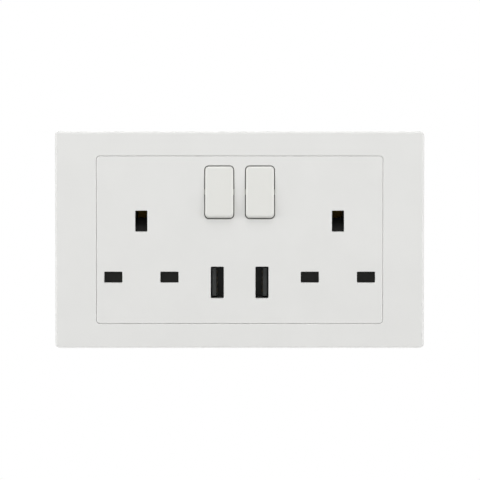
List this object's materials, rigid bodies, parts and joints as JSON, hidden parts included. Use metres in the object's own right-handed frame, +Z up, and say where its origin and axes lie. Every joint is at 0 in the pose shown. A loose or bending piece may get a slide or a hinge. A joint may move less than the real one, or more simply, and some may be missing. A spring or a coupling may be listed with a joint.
{
  "type": "twin switched socket outlet with usb ports",
  "caption": "White flush two-gang mains outlet plate with rocker switches, shuttered three-pin sockets, upright USB-A charging ports and a clip-on frame.",
  "frame": {"origin": "on the wall plane, midway between the two wall fixing slots, at the plate's middle", "axes": "+X to the right seen from the front, +Z up, +Y into the wall, so the front faces -Y"},
  "size_m": [0.146, 0.0375, 0.086],
  "materials": {
    "white_plastic": "satin moulded white plastic",
    "rocker_plastic": "satin moulded white plastic",
    "housing_plastic": "matt moulded light grey plastic",
    "grey_plastic": "waxy moulded mid grey plastic",
    "black_plastic": "matt moulded black plastic",
    "brass": "plain stamped brass",
    "silver": "dull silver contact alloy",
    "steel": "bright zinc plating",
    "board": "green solder mask",
    "ferrite": "dull dark grey ferrite",
    "coil_tape": "yellow insulating tape",
    "capacitor": "dark blue sleeve"
  },
  "bodies": {
    "socket_body": {"outer_frame": "white_plastic", "front_plate": "white_plastic", "middle_plate": "black_plastic", "rear_housing": "housing_plastic", "housing_screws": "steel", "earth_bar": "brass", "neutral_bar": "brass", "live_feed_bar": "brass", "live_terminal": "brass", "neutral_terminal": "brass", "left_earth_terminal": "brass", "right_earth_terminal": "brass", "terminal_screws": "steel", "usb_board": "board", "usb_chip": "black_plastic", "board_live_pin": "brass", "transformer_core": "ferrite", "transformer_coil": "coil_tape", "input_capacitor": "capacitor", "output_capacitor": "capacitor", "left_live_strip": "brass", "left_fixed_button": "silver", "left_usb_can": "steel", "left_usb_tongue": "black_plastic", "left_usb_contacts": "brass", "left_shutter_spring": "steel", "right_live_strip": "brass", "right_fixed_button": "silver", "right_usb_can": "steel", "right_usb_tongue": "black_plastic", "right_usb_contacts": "brass", "right_shutter_spring": "steel"},
    "left_rocker_body": {"left_rocker": "rocker_plastic", "left_plunger_spring": "steel"},
    "left_plunger_body": {"left_plunger": "grey_plastic"},
    "left_contact_body": {"left_moving_contact": "brass", "left_moving_button": "silver"},
    "left_shutter_body": {"left_shutter": "black_plastic"},
    "right_rocker_body": {"right_rocker": "rocker_plastic", "right_plunger_spring": "steel"},
    "right_plunger_body": {"right_plunger": "grey_plastic"},
    "right_contact_body": {"right_moving_contact": "brass", "right_moving_button": "silver"},
    "right_shutter_body": {"right_shutter": "black_plastic"}
  },
  "joints": [
    {"name": "left_rocker_tilt", "type": "hinge", "parent": "socket_body", "child": "left_rocker_body", "pos_m": [-0.00805, -0.0068, 0.0189], "axis": [1, 0, 0], "range_deg": [0, 12]},
    {"name": "left_plunger_slide", "type": "slide", "parent": "left_rocker_body", "child": "left_plunger_body", "axis": [0, -0.9945, 0.1045], "range_m": [0, 0.001], "stiffness_N_per_m": 200, "springref_m": -0.003, "deforming": ["left_plunger_spring"]},
    {"name": "left_contact_tilt", "type": "hinge", "parent": "socket_body", "child": "left_contact_body", "pos_m": [-0.00805, 0.0098, 0.0189], "axis": [-1, 0, 0], "range_deg": [0, 22]},
    {"name": "left_shutter_slide", "type": "slide", "parent": "socket_body", "child": "left_shutter_body", "axis": [0, 0, -1], "range_m": [0, 0.0052], "stiffness_N_per_m": 120, "springref_m": -0.003, "deforming": ["left_shutter_spring"]},
    {"name": "right_rocker_tilt", "type": "hinge", "parent": "socket_body", "child": "right_rocker_body", "pos_m": [0.00805, -0.0068, 0.0189], "axis": [1, 0, 0], "range_deg": [0, 12]},
    {"name": "right_plunger_slide", "type": "slide", "parent": "right_rocker_body", "child": "right_plunger_body", "axis": [0, -0.9945, 0.1045], "range_m": [0, 0.001], "stiffness_N_per_m": 200, "springref_m": -0.003, "deforming": ["right_plunger_spring"]},
    {"name": "right_contact_tilt", "type": "hinge", "parent": "socket_body", "child": "right_contact_body", "pos_m": [0.00805, 0.0098, 0.0189], "axis": [-1, 0, 0], "range_deg": [0, 22]},
    {"name": "right_shutter_slide", "type": "slide", "parent": "socket_body", "child": "right_shutter_body", "axis": [0, 0, -1], "range_m": [0, 0.0052], "stiffness_N_per_m": 120, "springref_m": -0.003, "deforming": ["right_shutter_spring"]}
  ],
  "couplings": [
    {"joint": "left_contact_tilt", "follows": "left_rocker_tilt", "ratio": 1.8333},
    {"joint": "right_contact_tilt", "follows": "right_rocker_tilt", "ratio": 1.8333}
  ]
}
